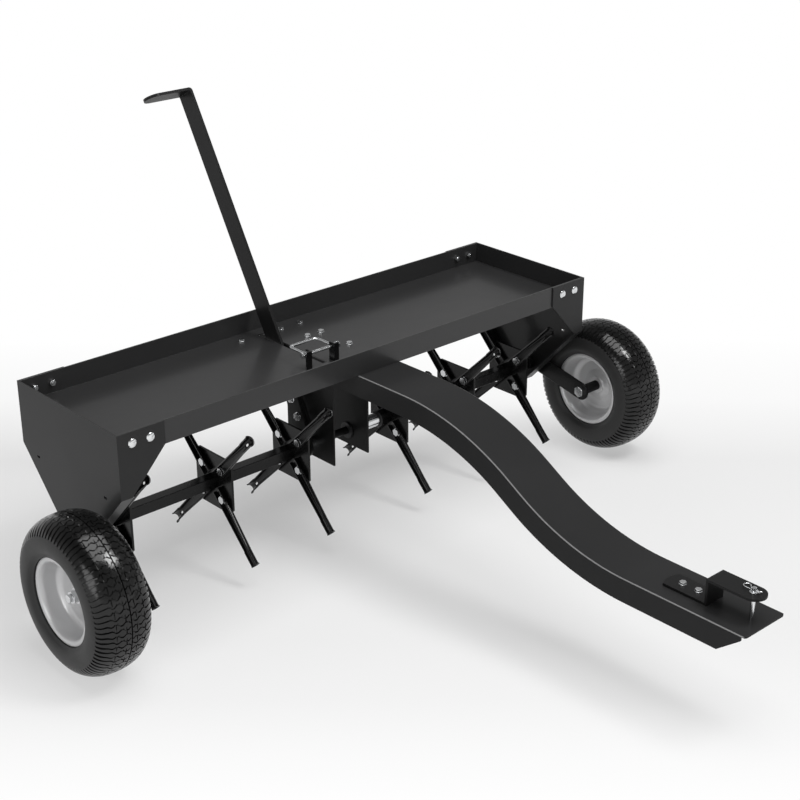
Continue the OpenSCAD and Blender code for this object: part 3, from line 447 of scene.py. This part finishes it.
def buildDrawbar(settings):
    low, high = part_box("drawbar")
    half = (high.x - low.x) / 2
    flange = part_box("hitch_bracket")[0].z - low.z
    path = drawbarPath(settings, low, high)
    r = settings["cornerRadius"]
    section = [(-half, -flange)]
    section += [(-half + r - r * math.cos(a), -r + r * math.sin(a)) for a in
                [math.radians(d) for d in range(0, 91, 15)]]
    section += [(-x, z) for x, z in reversed(section)]
    middle = (low.x + high.x) / 2
    bm = bmesh.new()
    # vertices on the crests of the folds are marked for the painted highlight line
    highlightMark = bm.verts.layers.float.new("highlightMark")
    verts = [bm.verts.new((middle + x, path[0][0], path[0][1] + z)) for x, z in section]
    for place, vert in enumerate(verts):
        vert[highlightMark] = float(min(place, len(verts) - 1 - place) in settings["highlightPoints"])
    edges = [bm.edges.new(pair) for pair in zip(verts, verts[1:])]
    for before, after in zip(path, path[1:]):
        edges, moved = grow(bm, edges)
        step = (Matrix.Translation((0, after[0], after[1])) @ Matrix.Rotation(after[2] - before[2], 4, "X")
                @ Matrix.Translation((0, -before[0], -before[1])))
        bmesh.ops.transform(bm, verts=moved, matrix=step)
    # slanted ends of the flanges
    cutStart = Vector((0, low.y, path[-1][1] - settings["sheet"]))
    cutEnd = Vector((0, low.y + settings["frontCut"], path[-1][1] - flange))
    along = (cutEnd - cutStart).normalized()
    bmesh.ops.bisect_plane(bm, geom=bm.verts[:] + bm.edges[:] + bm.faces[:], plane_co=cutStart,
                           plane_no=(0, along.z, -along.y), clear_outer=True)
    # rounded front corners
    nose = settings["noseRadius"]
    for side in (-1, 1):
        for degrees in (22.5, 45, 67.5):
            a = math.radians(degrees)
            out = Vector((side * math.cos(a), -math.sin(a), 0))
            centre = Vector((middle + side * (half - nose), low.y + nose, 0))
            bmesh.ops.bisect_plane(bm, geom=bm.verts[:] + bm.edges[:] + bm.faces[:],
                                   plane_co=centre + out * nose, plane_no=out, clear_outer=True)
    bmesh.ops.remove_doubles(bm, verts=bm.verts, dist=0.00001)
    bmesh.ops.recalc_face_normals(bm, faces=bm.faces)
    upward = sum((f.normal.z * f.calc_area() for f in bm.faces))
    if upward < 0:
        bmesh.ops.reverse_faces(bm, faces=bm.faces)
    piece = addPiece("drawbar_channel", bm, "frame", ("drawbar",))
    sheet = piece.modifiers.new("sheet", "SOLIDIFY")
    sheet.thickness = settings["sheet"]
    sheet.offset = -1
    sheet.use_even_offset = True
    return softEdges(piece, settings["edge"])


buildDrawbar(drawbar)
print("drawbar built")


# Coring spoons

spoon = {
    "root": 0.017, "tip": 0.1595, "shape": 0.1295,  # distances from the shaft: inner end, tip, start of the round tip
    "widthIn": 0.021, "widthOut": 0.0155, "tipWidth": 0.017,
    "heightIn": 0.007, "heightOut": 0.0085,
    "sheet": 0.0022, "corner": 0.0032,
    "flare": 0.0014, "flareLength": 0.004,
    "holeWidth": 0.004, "holeNear": 0.1345, "holeFar": 0.1455,
    "stations": 14, "bend": 7,
}


def spoonSection(width, height, roundness, settings):
    # closed outline of the channel in X (depth, web at 0) and Z (width): along the outside, back along the inside
    corner = settings["corner"] + (width / 2 - settings["corner"]) * roundness
    outline = []
    for inset in (0.0, settings["sheet"]):
        r = corner - inset
        half = width / 2 - inset
        side = [(-max(height, corner + 0.0003), -half)]
        for i in range(settings["bend"] + 1):
            a = math.pi / 2 * i / settings["bend"]
            side.append((-inset - r + r * math.sin(a), -half + r - r * math.cos(a)))
        whole = side + [(x, -z) for x, z in reversed(side)]
        outline += whole if inset == 0 else list(reversed(whole))
    return outline


def spoonStations(settings):
    # distance from the shaft, width, height, roundness and sideways shift of each section
    stations = []
    for i in range(settings["stations"] + 1):
        t = i / settings["stations"]
        y = settings["root"] + (settings["shape"] - settings["root"]) * t
        width = settings["widthIn"] + (settings["widthOut"] - settings["widthIn"]) * t
        height = settings["heightIn"] + (settings["heightOut"] - settings["heightIn"]) * t
        stations.append((y, width, height, 0.85 * max(0.0, t - 0.35) / 0.65, 0.0))
    width = settings["tipWidth"]
    straight = settings["tip"] - settings["flareLength"]
    stations += [(settings["shape"] + 0.003, width, width / 2, 1.0, 0.0), (straight, width, width / 2, 1.0, 0.0)]
    for t, share in ((0.45, 0.25), (0.75, 0.62), (0.93, 0.97), (1.0, 1.0)):
        wider = settings["flare"] * share
        stations.append((straight + settings["flareLength"] * t, width + 2 * wider, width / 2, 1.0, wider))
    return stations


def buildSpoon(settings):
    # one spoon along +Y from the shaft's axis, its web's outer side at X = 0
    bm = bmesh.new()
    spot = bm.verts.layers.int.new("spot")
    stations = spoonStations(settings)
    first = spoonSection(*stations[0][1:4], settings)
    verts = [bm.verts.new((x, stations[0][0], z)) for x, z in first]
    for i, vert in enumerate(verts):
        vert[spot] = i
    edges = [bm.edges.new(pair) for pair in zip(verts, verts[1:] + verts[:1])]
    bmesh.ops.edgeloop_fill(bm, edges=edges)
    for y, width, height, roundness, shift in stations[1:]:
        points = spoonSection(width, height, roundness, settings)
        edges, moved = grow(bm, edges)
        for vert in moved:
            x, z = points[vert[spot]]
            vert.co = (x + shift, y, z)
    bmesh.ops.edgeloop_fill(bm, edges=edges)
    closeMesh(bm)
    return bm


def finishedSpoonMesh(settings):
    # the soil hole cut and the edges broken, worked out once and shared by all spoons
    mesh = bpy.data.meshes.new("spoonSheet")
    bm = buildSpoon(settings)
    bm.to_mesh(mesh)
    bm.free()
    holder = bpy.data.objects.new("spoonSheet", mesh)
    bpy.context.scene.collection.objects.link(holder)
    cutter = slotCutter(settings)
    cut = holder.modifiers.new("soilHole", "BOOLEAN")
    cut.operation = "DIFFERENCE"
    cut.object = cutter
    cut.solver = "EXACT"
    softEdges(holder, 0.0004, 2, 40)
    ready = holder.evaluated_get(bpy.context.evaluated_depsgraph_get())
    finished = bmesh.new()
    finished.from_mesh(ready.to_mesh())
    ready.to_mesh_clear()
    bpy.data.objects.remove(holder)
    bpy.data.objects.remove(cutter)
    return finished


def slotCutter(settings):
    # oblong peg that cuts the soil hole
    bm = bmesh.new()
    r = settings["holeWidth"] / 2
    bmesh.ops.create_cone(bm, cap_ends=True, segments=24, radius1=r, radius2=r, depth=0.04,
                          matrix=Matrix.Rotation(math.pi / 2, 4, "Y"))
    far = settings["holeFar"] - settings["holeNear"] - 2 * r
    for vert in bm.verts:
        vert.co.y += settings["holeNear"] + r + (far if vert.co.y > 0.00001 else 0)
    mesh = bpy.data.meshes.new("slotCutter")
    bm.to_mesh(mesh)
    bm.free()
    cutter = bpy.data.objects.new("slotCutter", mesh)
    bpy.context.scene.collection.objects.link(cutter)
    return cutter


def buildStars(settings):
    shaft = boxMiddle("rock_shaft")
    single = finishedSpoonMesh(settings)
    for number in range(1, 7):
        low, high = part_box(f"star_plate_{number}")
        bm = bmesh.new()
        for k in range(4):
            part = single.copy()
            place = (Matrix.Translation((low.x, shaft.y, shaft.z))
                     @ Matrix.Rotation(math.radians(45 + 90 * k), 4, "X"))
            bmesh.ops.transform(part, matrix=place, verts=part.verts)
            joinMesh(bm, part)
        body = "tines_left" if number < 4 else "tines_right"
        addPiece(f"coring_spoons_{number}", bm, body, (f"spoons_{number}",), 40)
    single.free()


buildStars(spoon)
print("spoons built")


# Tyres

tyre = {
    "pitches": 80,
    "columns": (0.0, 0.06, 0.22, 0.28, 0.52, 0.76),  # places within one pitch, the groove comes first
    "depths": (0.0, 1.0, 1.0, 0.0, 0.0, 0.0),
    "crownDepth": 0.0022,
    "shoulderDepth": 0.0034,
    "shoulderWide": 0.27,  # how much wider the grooves get on the shoulder, in pitches
    "treadFrom": 0.104,  # radius where the shoulder bars begin
    "across": (0.0030, 0.0055, 0.0078, 0.0083, 0.0092, 0.0097, 0.0120, 0.0145, 0.0170, 0.0195, 0.0220, 0.0233,
               0.0238, 0.0247, 0.0252, 0.0275, 0.0300, 0.0325, 0.0350, 0.0372, 0.0390, 0.0406, 0.0420, 0.0433,
               0.0445, 0.0456, 0.0466, 0.0475, 0.0483, 0.0490, 0.0495, 0.0499),
    "sipes": ((0.0083, 0.0092), (0.0238, 0.0247)),  # short grooves along the tread, in turn on every other pitch
    "sipeDepth": 0.0016,
    "grooveHalf": 0.0010,
    "grooveDepth": 0.0035,
    "sideRise": 0.017,
    "squareness": 2.4,
    "zigzag": 0.24,  # sideways run of the grooves in pitches
    "zigzagLength": 0.0155,
    "zigzagTo": 0.036, "zigzagFade": 0.008,
    "bead": 0.0006,
}


def tyreOutline(settings, top, half, rimRadius, rimHalf):
    # (radius, place across) from the middle of the crown to the bead on one side
    side = rimRadius + settings["sideRise"]
    power = settings["squareness"]
    rows = [(top - settings["grooveDepth"], 0.0), (top - settings["grooveDepth"], settings["grooveHalf"] * 0.7)]
    for x in (settings["grooveHalf"],) + settings["across"]:
        rows.append((side + (top - side) * (1 - (x / half) ** power) ** (1 / power), x))
    rows += [(side, half), (side - 0.005, half - 0.0004), (side - 0.009, half - 0.0016)]
    rows += [(side - 0.0115, half - 0.0034), (rimRadius + 0.003, half - 0.0052)]
    rows += [(rimRadius + settings["bead"], half - 0.0062)]
    rows += [(rimRadius + settings["bead"], rimHalf - 0.0034), (rimRadius - 0.004, rimHalf - 0.0060)]
    return rows


def treadZigzag(settings, across, odd):
    # sideways run of a groove: stepping near the middle, with neighbours out of step
    swing = across / settings["zigzagLength"] + (0.5 if odd else 0.0)
    phase = swing - math.floor(swing)
    wave = 4 * abs(phase - 0.5) - 1
    fade = min(1.0, max(0.0, (settings["zigzagTo"] - across) / settings["zigzagFade"]))
    return settings["zigzag"] * fade * max(-0.8, min(0.8, 1.6 * wave))


def treadDepth(settings, column, across, r, top, odd):
    # how deep the tread is cut at one vertex
    if across < settings["grooveHalf"] * 1.01:
        return 0.0
    shoulder = min(1.0, max(0.0, (r - settings["treadFrom"]) / 0.0015))
    edge = 1.0 if r > top - 0.006 else settings["shoulderDepth"] / settings["crownDepth"]
    cut = settings["crownDepth"] * edge * settings["depths"][column]
    for k, (near, far) in enumerate(settings["sipes"]):
        if near - 0.0001 < across < far + 0.0001 and odd == (k == 1):
            cut = max(cut, settings["sipeDepth"])
    return cut * shoulder


def buildTyre(side, settings):
    low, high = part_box(f"tyre_{side}")
    rimLow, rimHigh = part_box(f"wheel_rim_{side}")
    middle = (low + high) / 2
    half = (high.x - low.x) / 2
    rimHalf = (rimHigh.x - rimLow.x) / 2
    rimRadius = (rimHigh.z - rimLow.z) / 2
    top = (high.z - low.z) / 2
    outline = tyreOutline(settings, top, half, rimRadius, rimHalf)
    rows = [(r, -x) for r, x in reversed(outline[1:])] + outline
    rows += [(rimRadius - 0.012, 0.0)]
    columns = len(settings["columns"])
    steps = settings["pitches"] * columns
    bm = bmesh.new()
    verts = [bm.verts.new((x, 0, r)) for r, x in rows]
    edges = [bm.edges.new(pair) for pair in zip(verts, verts[1:] + verts[:1])]
    bmesh.ops.spin(bm, geom=verts + edges, cent=(0, 0, 0), axis=(1, 0, 0), angle=math.tau, steps=steps,
                   use_merge=True)
    pitch = math.tau / settings["pitches"]
    for vert in bm.verts:
        r = math.hypot(vert.co.y, vert.co.z)
        across = abs(vert.co.x)
        spot = round((math.atan2(-vert.co.y, vert.co.z) % math.tau) / math.tau * steps) % steps
        place, column = divmod(spot, columns)
        within = settings["columns"][column]
        odd = place % 2 == 1
        if r > settings["treadFrom"]:
            slope = min(1.0, max(0.0, (across - settings["zigzagTo"]) / settings["zigzagFade"]))
            if column in (2, 3):
                within += settings["shoulderWide"] * slope
            within += treadZigzag(settings, across, odd != (vert.co.x < 0))
            r -= treadDepth(settings, column, across, r, top, odd)
        angle = (place + within) * pitch
        vert.co.y = -r * math.sin(angle)
        vert.co.z = r * math.cos(angle)
    bmesh.ops.recalc_face_normals(bm, faces=bm.faces)
    # faces below the tread take the side-wall rubber, whose lighter colour is a painted sheen
    for face in bm.faces:
        place = face.calc_center_median()
        if math.hypot(place.y, place.z) < settings["treadFrom"]:
            face.material_index = 1
    bmesh.ops.translate(bm, verts=bm.verts, vec=middle)
    piece = addPiece(f"turf_tyre_{side}", bm, f"wheel_{side}", (f"tyre_{side}",), 40)
    piece.data.materials.append(finishes["sideWallSheen"])
    return piece


# Rims

rim = {
    "barrel": 0.061, "sheet": 0.0024, "disc": 0.005, "hub": 0.0125, "hubRadius": 0.0165, "bore": 0.00885,
    "ringRadius": 0.030, "ringRise": 0.0015,
    "steps": 120,
}


def buildRim(side, settings):
    low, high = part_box(f"wheel_rim_{side}")
    middle = (low + high) / 2
    half = (high.x - low.x) / 2
    lip = (high.z - low.z) / 2
    barrel, sheet, disc, hub = settings["barrel"], settings["sheet"], settings["disc"], settings["hub"]
    ring = settings["ringRadius"]
    face = disc + sheet
    outside = [
        (settings["bore"], hub), (settings["hubRadius"], hub), (settings["hubRadius"] + 0.001, face + 0.0035),
        (ring - 0.004, face + settings["ringRise"]), (ring, face + 0.0004),
        (barrel - 0.013, face - 0.0004), (barrel - sheet - 0.002, face + 0.006), (barrel - sheet, half - 0.008),
        (barrel + 0.0012, half - 0.0016), (lip - 0.0035, half), (lip, half - 0.001), (lip, half - 0.0026),
        (barrel + 0.0042, half - sheet - 0.0014), (barrel, half - 0.008), (barrel, disc + 0.008),
        (barrel - 0.007, disc), (settings["hubRadius"] + 0.010, disc - 0.002)]
    line = [Vector((r, x)) for r, x in outside]
    soft = roundedLine(line, 0.0035, 4)
    outline = [(p.x, p.y) for p in soft] + [(p.x, -p.y) for p in reversed(soft)]
    bm = spunShape(outline, middle, settings["steps"])
    return addPiece(f"dished_rim_{side}", bm, f"wheel_{side}", (f"wheel_rim_{side}",), 50)


for side in ("left", "right"):
    buildTyre(side, tyre)
    buildRim(side, rim)
print("wheels built")


# Latch bail and pin clip, bent from round wire

wires = {
    "bailRadius": 0.0025, "bailCorner": 0.009, "eyeBevel": 0.0005,
    "clipRadius": 0.0009, "clipRing": 0.005, "clipLeg": 0.015,
    "clipBulge": 0.00325 + 0.0013,  # radius at which the bent leg passes the pin
}


def buildBail(settings):
    low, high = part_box("latch_bail")
    rod = boxMiddle("latch_rod")
    r, edge = settings["bailRadius"], settings["eyeBevel"]
    left, right = low.x + r, high.x - r
    back = high.y - r
    corners = [Vector((left, rod.y + 0.002, rod.z)), Vector((left, back, rod.z)), Vector((right, back, rod.z)),
               Vector((right, rod.y + 0.002, rod.z))]
    bm = sweptWire(roundedLine(corners, settings["bailCorner"], 8), r, 16)
    eyeRadius = (high.z - low.z) / 2
    rodLow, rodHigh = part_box("latch_rod")
    bore = (rodHigh.z - rodLow.z) / 2 + 0.00006
    for x in (left, right):
        eye = spunShape([(bore, -r), (eyeRadius - edge, -r), (eyeRadius, -r + edge), (eyeRadius, r - edge),
                         (eyeRadius - edge, r), (bore, r)], Vector((x, rod.y, rod.z)), 40)
        joinMesh(bm, eye)
    return addPiece("bail_wire", bm, "bail", ("latch_bail",), 40)


def buildClip(settings):
    low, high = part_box("hitch_clip")
    pin = boxMiddle("hitch_pin")
    z = (low.z + high.z) / 2
    leg, ring, bulge = settings["clipLeg"], settings["clipRing"], settings["clipBulge"]
    flat = [(0.0, ring - leg), (0.0, leg - 0.002)]
    flat += [(ring + ring * math.cos(a), leg + ring * math.sin(a)) for a in
             [math.radians(180 - 12 * i) for i in range(22)]]
    flat += [(bulge * math.cos(a), bulge * math.sin(a)) for a in [math.radians(70 - 14 * i) for i in range(11)]]
    flat += [(ring * 0.9, ring - leg)]
    path = [Vector((pin.x + x, pin.y + y, z)) for x, y in flat]
    return addPiece("clip_wire", sweptWire(path, settings["clipRadius"], 10), "pin", ("hitch_clip",), 50)


buildBail(wires)
buildClip(wires)
print("wires bent")


# Floor, light and camera

studio = {
    "lens": 71.30, "sensor": 36.0,
    "place": (-1.6016, -1.6488, 1.3413),
    "turn": (66.054, 0.0, -42.326), "roll": -0.117,
    "floorTone": 0.64,
    # light around the machine: a bright band at the horizon under a dark ceiling, by height on the dome
    "dome": ((0.0, 0.50), (0.45, 0.42), (0.75, 0.15), (1.0, 0.05)),
    "skyline": ((0.0, 1.0), (0.14, 1.0), (0.2, 0.0)),  # how white the sky is, by height of the view
    "sideFrom": 1.8, "sideTo": 3.4,  # distance aside over which the floor turns white
    # how far the floor is lifted towards white, from near to far along the view
    "fadeFrom": -1.6, "fadeTo": 2.4,
    "fade": ((0.23, 1.0), (0.254, 0.96), (0.275, 0.85), (0.31, 0.59), (0.35, 0.47), (0.41, 0.43), (0.47, 0.38),
             (0.51, 0.38), (0.545, 0.62), (0.581, 0.84), (0.665, 1.0)),
}


def setRamp(ramp, stops):
    elements = ramp.color_ramp.elements
    elements.remove(elements[1])
    first = elements[0]
    first.position = stops[0][0]
    first.color = (*[stops[0][1]] * 3, 1)
    for position, value in stops[1:]:
        elements.new(position).color = (value, value, value, 1)


def directRays(tree):
    # 1 where the eye, a mirror or a clear piece looks at the background, 0 where it only lights
    seen = tree.nodes.new("ShaderNodeLightPath").outputs
    mirrored = mathNode(tree, "MAXIMUM", seen["Is Glossy Ray"], seen["Is Transmission Ray"])
    return mathNode(tree, "MAXIMUM", seen["Is Camera Ray"], mirrored)


def buildFloor(settings):
    bm = bmesh.new()
    bmesh.ops.create_grid(bm, x_segments=1, y_segments=1, size=30.0)
    mesh = bpy.data.meshes.new("floor")
    bm.to_mesh(mesh)
    bm.free()
    material = bpy.data.materials.new("paleFloor")
    material.use_nodes = True
    tree = material.node_tree
    shader = tree.nodes["Principled BSDF"]
    tone = settings["floorTone"]
    shader.inputs["Base Color"].default_value = (tone, tone, tone, 1)
    shader.inputs["Roughness"].default_value = 0.9
    shader.inputs["Specular IOR Level"].default_value = 0.1
    # the far, the near and the outer floor fade into plain white, also where metal mirrors them
    place = tree.nodes.new("ShaderNodeTexCoord")
    turn = tree.nodes.new("ShaderNodeMapping")
    turn.inputs["Rotation"].default_value = (0, 0, math.radians(-settings["turn"][2]))
    split = tree.nodes.new("ShaderNodeSeparateXYZ")
    ramp = tree.nodes.new("ShaderNodeValToRGB")
    spread = tree.nodes.new("ShaderNodeMapRange")
    spread.inputs["From Min"].default_value = settings["fadeFrom"]
    spread.inputs["From Max"].default_value = settings["fadeTo"]
    setRamp(ramp, settings["fade"])
    side = tree.nodes.new("ShaderNodeMapRange")
    side.interpolation_type = "SMOOTHERSTEP"
    side.inputs["From Min"].default_value = settings["sideFrom"]
    side.inputs["From Max"].default_value = settings["sideTo"]
    white = tree.nodes.new("ShaderNodeEmission")
    white.inputs["Color"].default_value = (1, 1, 1, 1)
    mix = tree.nodes.new("ShaderNodeMixShader")
    links = tree.links
    links.new(place.outputs["Object"], turn.inputs["Vector"])
    links.new(turn.outputs["Vector"], split.inputs["Vector"])
    links.new(split.outputs["Y"], spread.inputs["Value"])
    links.new(spread.outputs["Result"], ramp.inputs["Fac"])
    links.new(mathNode(tree, "ABSOLUTE", split.outputs["X"]), side.inputs["Value"])
    lift = mathNode(tree, "MAXIMUM", ramp.outputs["Color"], side.outputs["Result"])
    # where the lift is below 1 the white glow still lightens the floor's shading and the machine's shadow on it:
    # painted light
    links.new(mathNode(tree, "MULTIPLY", lift, directRays(tree)), mix.inputs["Fac"])
    links.new(shader.outputs["BSDF"], mix.inputs[1])
    links.new(white.outputs["Emission"], mix.inputs[2])
    links.new(mix.outputs["Shader"], tree.nodes["Material Output"].inputs["Surface"])
    mesh.materials.append(material)
    floor = bpy.data.objects.new("floor", mesh)
    bpy.context.scene.collection.objects.link(floor)


def buildWorld(settings):
    world = bpy.data.worlds.new("studio")
    bpy.context.scene.world = world
    world.use_nodes = True
    tree = world.node_tree
    place = tree.nodes.new("ShaderNodeTexCoord")
    split = tree.nodes.new("ShaderNodeSeparateXYZ")
    ramp = tree.nodes.new("ShaderNodeValToRGB")
    setRamp(ramp, settings["dome"])
    tree.links.new(place.outputs["Generated"], split.inputs["Vector"])
    tree.links.new(split.outputs["Z"], ramp.inputs["Fac"])
    # white behind the floor's edge, without more light on the machine
    skyline = tree.nodes.new("ShaderNodeValToRGB")
    setRamp(skyline, settings["skyline"])
    shown = tree.nodes.new("ShaderNodeMix")
    shown.data_type = "RGBA"
    shown.inputs["B"].default_value = (1, 1, 1, 1)
    tree.links.new(split.outputs["Z"], skyline.inputs["Fac"])
    white = mathNode(tree, "MULTIPLY", skyline.outputs["Color"], directRays(tree))
    tree.links.new(white, shown.inputs["Factor"])
    tree.links.new(ramp.outputs["Color"], shown.inputs["A"])
    tree.links.new(shown.outputs["Result"], tree.nodes["Background"].inputs["Color"])


def addLamp(name, place, aim, size, power):
    lamp = bpy.data.lights.new(name, "AREA")
    lamp.shape = "RECTANGLE"
    lamp.size, lamp.size_y = size
    lamp.energy = power
    holder = bpy.data.objects.new(name, lamp)
    holder.location = place
    holder.rotation_euler = (Vector(aim) - Vector(place)).to_track_quat("-Z", "Y").to_euler()
    bpy.context.scene.collection.objects.link(holder)


def buildCamera(settings):
    data = bpy.data.cameras.new("camera")
    data.lens = settings["lens"]
    data.sensor_width = settings["sensor"]
    camera = bpy.data.objects.new("camera", data)
    turn = Euler([math.radians(a) for a in settings["turn"]]).to_matrix().to_4x4()
    roll = Matrix.Rotation(math.radians(settings["roll"]), 4, "Z")
    camera.matrix_world = Matrix.Translation(settings["place"]) @ turn @ roll
    bpy.context.scene.collection.objects.link(camera)
    bpy.context.scene.camera = camera


buildFloor(studio)
buildWorld(studio)
addLamp("overhead", (0.1, -0.3, 3.3), (0.1, -0.3, 0.0), (2.4, 2.4), 72.0)
addLamp("keyBox", (0.90, -1.44, 3.03), (0, 0, 0.2), (0.85, 1.0), 48.0)
addLamp("leftFill", (-3.3, -1.0, 1.5), (0, 0, 0.2), (1.8, 1.8), 30.0)
buildCamera(studio)
bpy.context.scene.view_settings.view_transform = "Standard"
print("studio ready")
